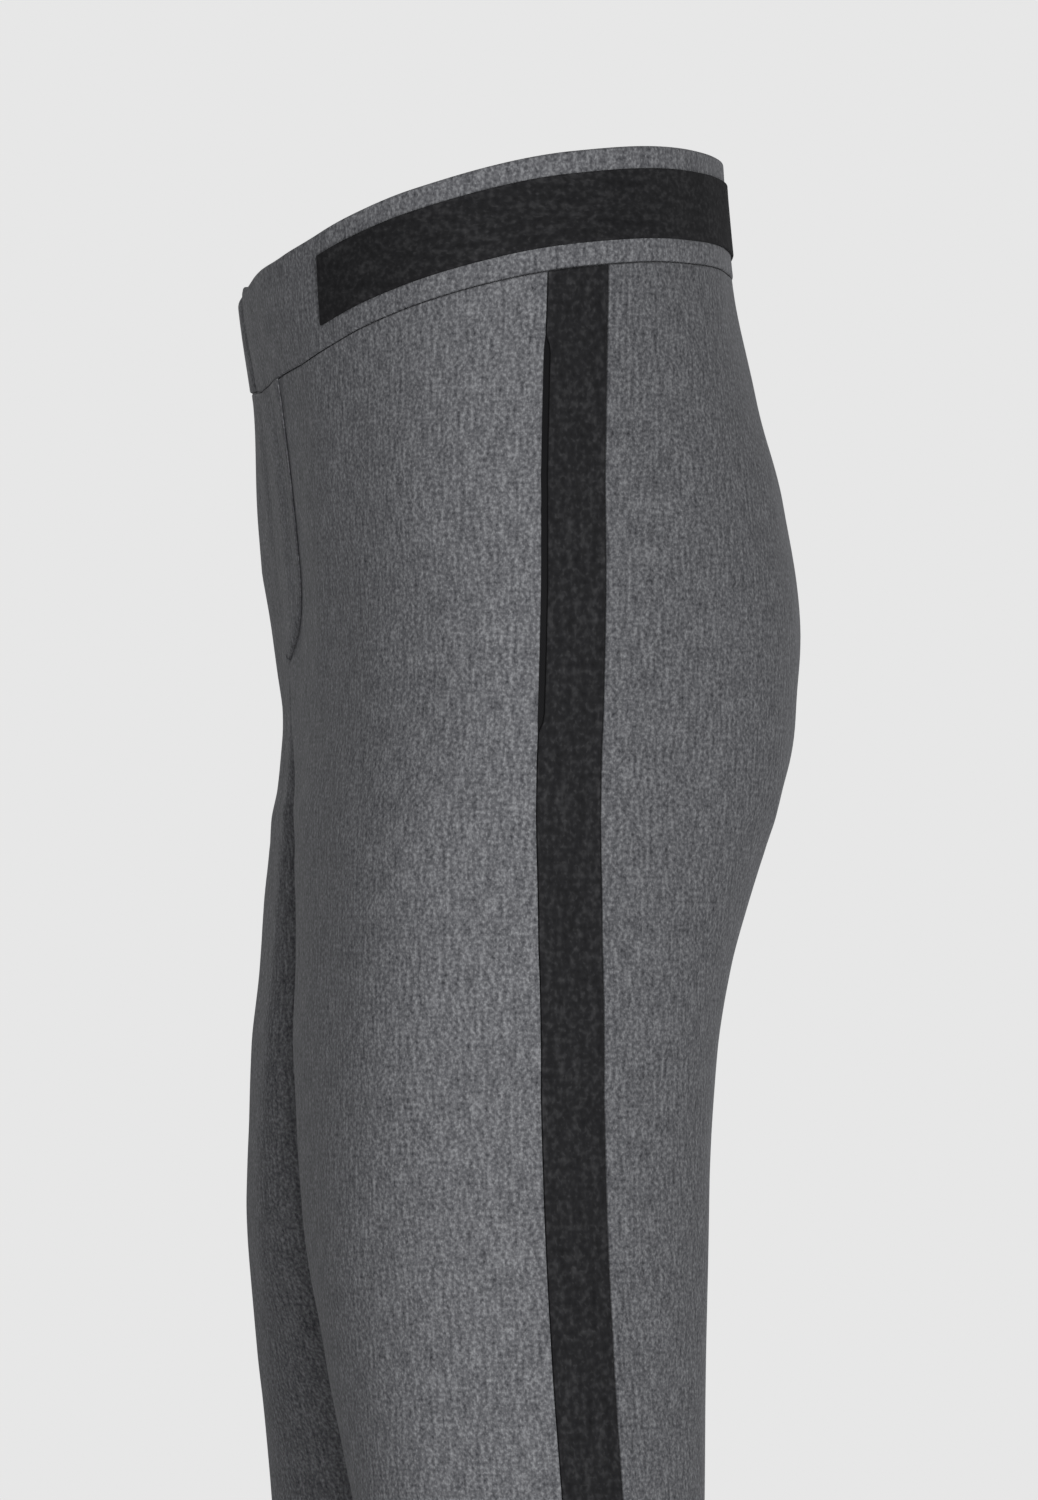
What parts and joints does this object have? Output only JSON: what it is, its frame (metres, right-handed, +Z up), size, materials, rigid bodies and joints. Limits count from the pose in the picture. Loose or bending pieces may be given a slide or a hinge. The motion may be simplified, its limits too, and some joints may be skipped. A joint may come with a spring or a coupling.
{
  "type": "straight-leg trousers",
  "caption": "Hollow straight-leg wool trousers, filled out as worn, with a dark stripe down each side seam and a dark tape round the waistband.",
  "frame": {"origin": "middle of the waist opening, level with the middle of the waistband at the back, where a body or a waist form holds the garment", "axes": "+Z up to the waist opening, -Y to the garment's front, +X to the wearer's left"},
  "size_m": [0.356, 0.2049, 1.0395],
  "materials": {
    "grey_wool": "matt grey melange wool flannel with a soft nap",
    "dark_wool": "matt charcoal wool flannel",
    "pocketing": "smooth dark pocket lining",
    "zip_tape": "woven black tape"
  },
  "bodies": {
    "root": {"front_left": "grey_wool", "front_right": "grey_wool", "back_left": "grey_wool", "back_right": "grey_wool", "stripe_left": "dark_wool", "stripe_right": "dark_wool", "waistband_left": "grey_wool", "waistband_right": "grey_wool", "waist_tape_left": "dark_wool", "waist_tape_right": "dark_wool", "pocket_bag_left": "pocketing", "pocket_bag_right": "pocketing", "hem_left": "grey_wool", "hem_right": "grey_wool", "fly_lap": "grey_wool", "fly_shield": "grey_wool", "zip": "zip_tape"}
  },
  "joints": []
}
